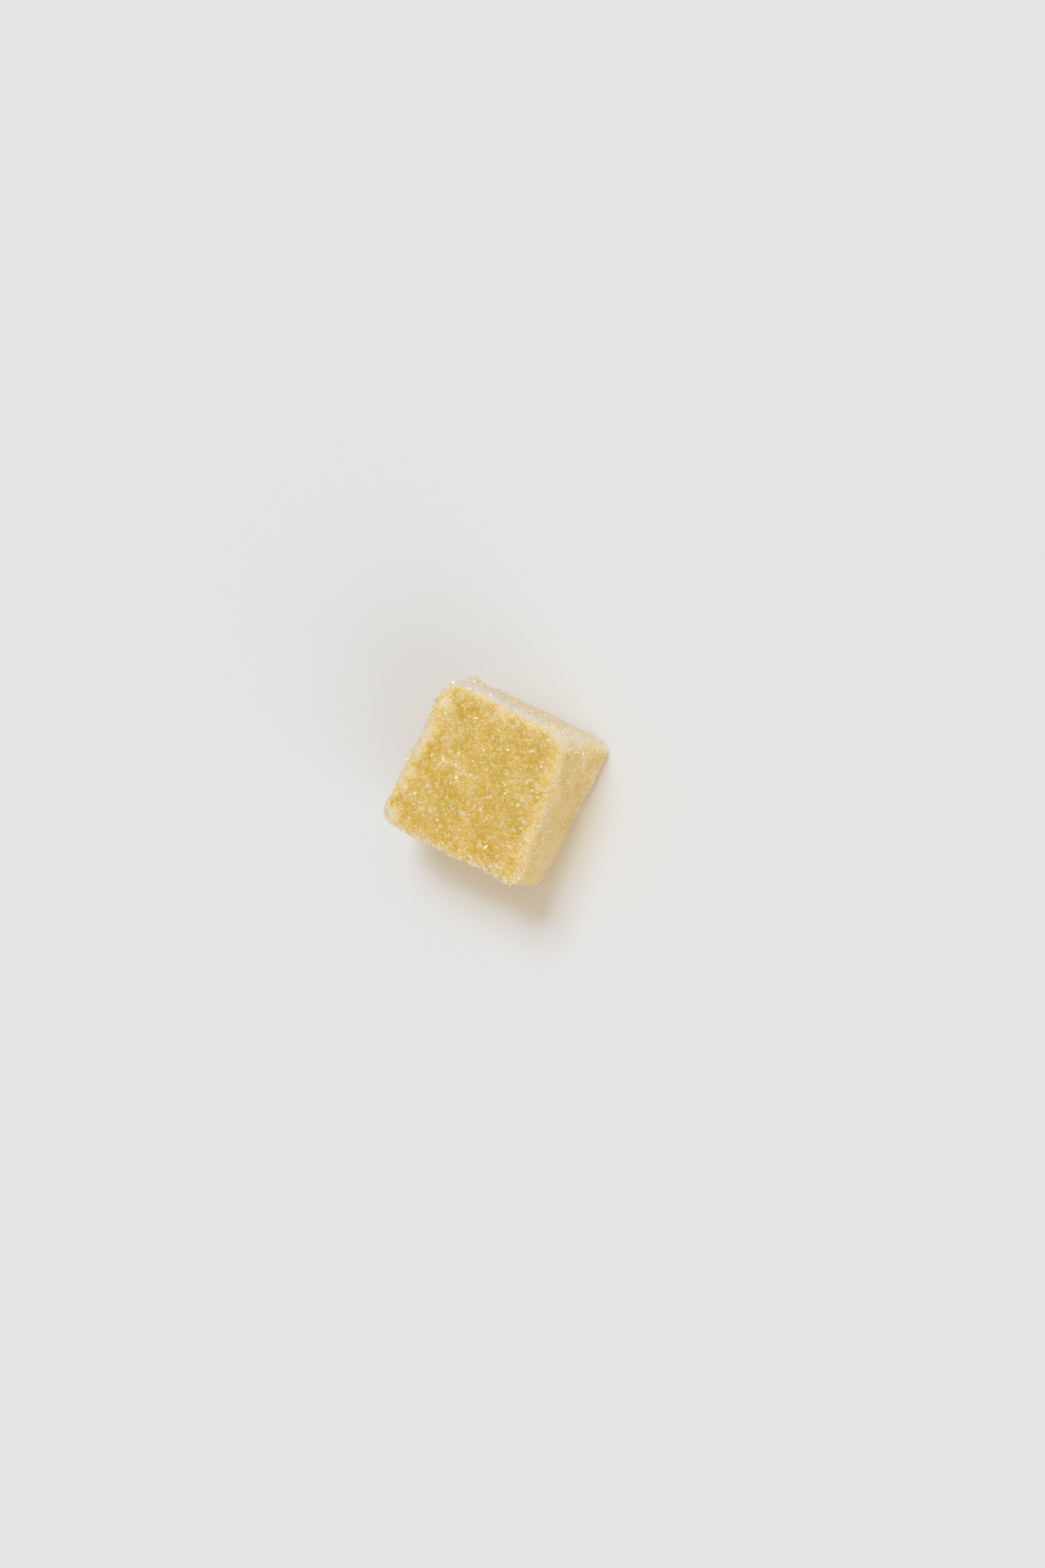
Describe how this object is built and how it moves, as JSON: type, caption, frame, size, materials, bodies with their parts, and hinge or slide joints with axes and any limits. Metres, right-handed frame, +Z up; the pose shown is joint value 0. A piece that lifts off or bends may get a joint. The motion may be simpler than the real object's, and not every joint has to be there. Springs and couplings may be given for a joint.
{
  "type": "sugar-coated gummy candy",
  "caption": "Soft square block of yellow fruit jelly coated in granulated sugar, lying flat, with rounded uneven edges and raised sugar crystals.",
  "frame": {"origin": "under the middle of the candy's box, on the surface it lies on", "axes": "+Z up, out of the large upper face, +X to the right side face, +Y to the back face with the little heap of crystals"},
  "size_m": [0.0216, 0.0226, 0.0146],
  "materials": {
    "sugared_jelly": "translucent yellow fruit jelly under a coat of clear and whitish sugar crystals"
  },
  "bodies": {
    "root": {"gummy": "sugared_jelly"}
  },
  "joints": []
}
